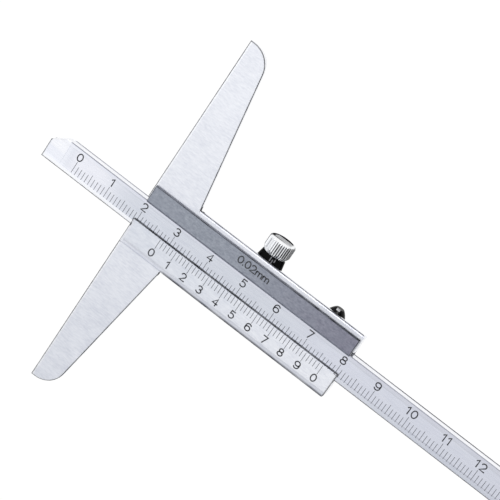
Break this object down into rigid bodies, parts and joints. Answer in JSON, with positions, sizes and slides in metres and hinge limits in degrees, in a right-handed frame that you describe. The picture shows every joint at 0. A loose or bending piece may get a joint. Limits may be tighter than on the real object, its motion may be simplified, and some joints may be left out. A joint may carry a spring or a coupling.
{
  "type": "vernier depth gauge",
  "caption": "T-shaped base with a flat measuring face and a graduated slide bar; a flat graduated beam slides through it and is locked by a knurled screw.",
  "frame": {"origin": "in the measuring face, on the beam's centre line, at the back plane that the gauge lies on", "axes": "+X along the beam away from the measuring face, +Y towards the lock screw, +Z out of the graduated face"},
  "size_m": [0.23, 0.1, 0.0075],
  "materials": {
    "base_steel": "ground satin chrome",
    "beam_steel": "satin chrome with polished borders",
    "plate_steel": "dark satin",
    "screw_steel": "turned",
    "spring_bronze": "rolled phosphor bronze",
    "knob_chrome": "knurled bright chrome",
    "seat_black": "black oxide",
    "pad_brass": "turned",
    "tail_black": "black oxide",
    "stop_steel": "turned"
  },
  "bodies": {
    "base": {"base_frame": "base_steel", "guide_plate": "plate_steel", "guide_plate_screws": "screw_steel", "leaf_spring": "spring_bronze", "lock_screw_seat": "seat_black", "tail_screw": "tail_black"},
    "depth_beam": {"beam": "beam_steel", "beam_stop_screw": "stop_steel"},
    "pad": {"pressure_pad": "pad_brass"},
    "clamp_screw": {"lock_screw": "knob_chrome"}
  },
  "joints": [
    {"name": "beam_slide", "type": "slide", "parent": "base", "child": "depth_beam", "axis": [-1, 0, 0], "range_m": [-0.0278, 0.1222]},
    {"name": "pad_slide", "type": "slide", "parent": "base", "child": "pad", "axis": [0, 1, 0], "range_m": [-0.00027, 0.0009]},
    {"name": "lock_screw_turn", "type": "hinge", "parent": "pad", "child": "clamp_screw", "pos_m": [0.0326, 0, 0.0036], "axis": [0, 1, 0], "range_deg": [-216, 720]}
  ],
  "couplings": [
    {"joint": "lock_screw_turn", "follows": "pad_slide", "rad_per_m": 13963}
  ]
}
